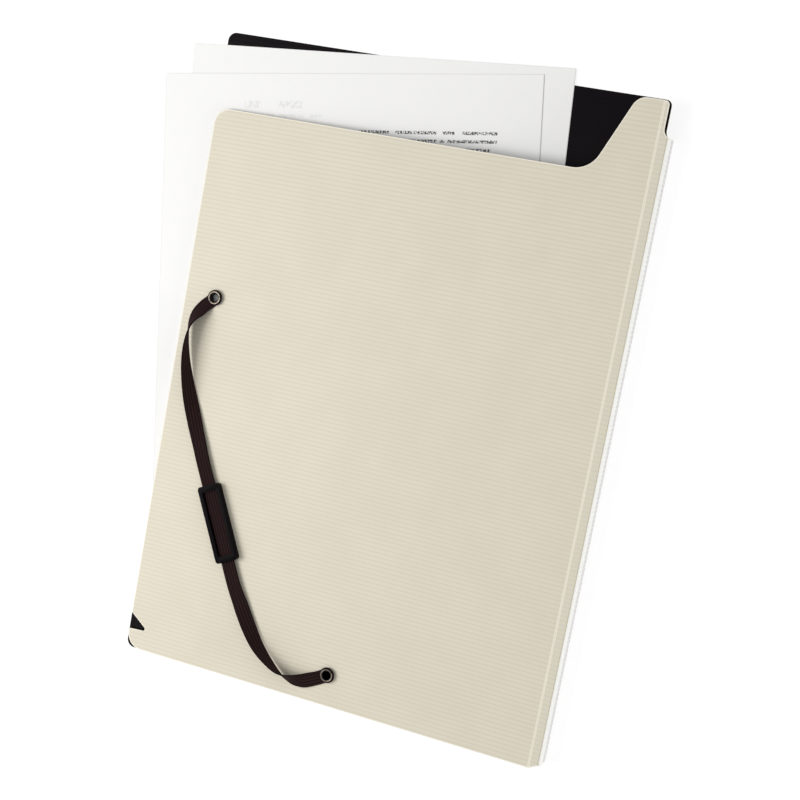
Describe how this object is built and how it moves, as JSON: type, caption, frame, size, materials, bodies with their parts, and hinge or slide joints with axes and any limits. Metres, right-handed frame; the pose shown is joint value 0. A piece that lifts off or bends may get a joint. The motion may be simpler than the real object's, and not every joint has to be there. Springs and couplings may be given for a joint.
{
  "type": "padfolio",
  "caption": "Document folder of creased ribbed sheet, cream outside and black inside, with a flat elastic strap, its slider and loose paper sticking out.",
  "frame": {"origin": "under the middle of the whole object's box, papers included, on the surface that the back cover lies on", "axes": "+X from the open edge to the spine, +Y up the folder to its top edge, +Z out of the back cover towards the front cover"},
  "size_m": [0.277, 0.3542, 0.0155],
  "materials": {
    "ribbed_sheet": "fine ribs, cream outside and black inside",
    "elastic_webbing": "dark brown knitted elastic",
    "slider_plastic": "satin black",
    "eyelet_metal": "dark gunmetal",
    "paper": "matt"
  },
  "bodies": {
    "folder": {"back_cover": "ribbed_sheet", "paper_rear": "paper", "paper_front": "paper"},
    "cover": {"front_cover": "ribbed_sheet", "elastic_strap": "elastic_webbing", "eyelet_upper": "eyelet_metal", "eyelet_lower": "eyelet_metal", "washer_upper": "eyelet_metal", "washer_lower": "eyelet_metal"},
    "slider": {"strap_slider": "slider_plastic"}
  },
  "joints": [
    {"name": "cover_hinge", "type": "hinge", "parent": "folder", "child": "cover", "pos_m": [0.133, 0, 0.0117], "axis": [0, 1, 0], "range_deg": [0, 175]},
    {"name": "slider_slide", "type": "slide", "parent": "cover", "child": "slider", "axis": [0.4412, -0.8973, 0.0165], "range_m": [-0.011, 0.011]}
  ]
}
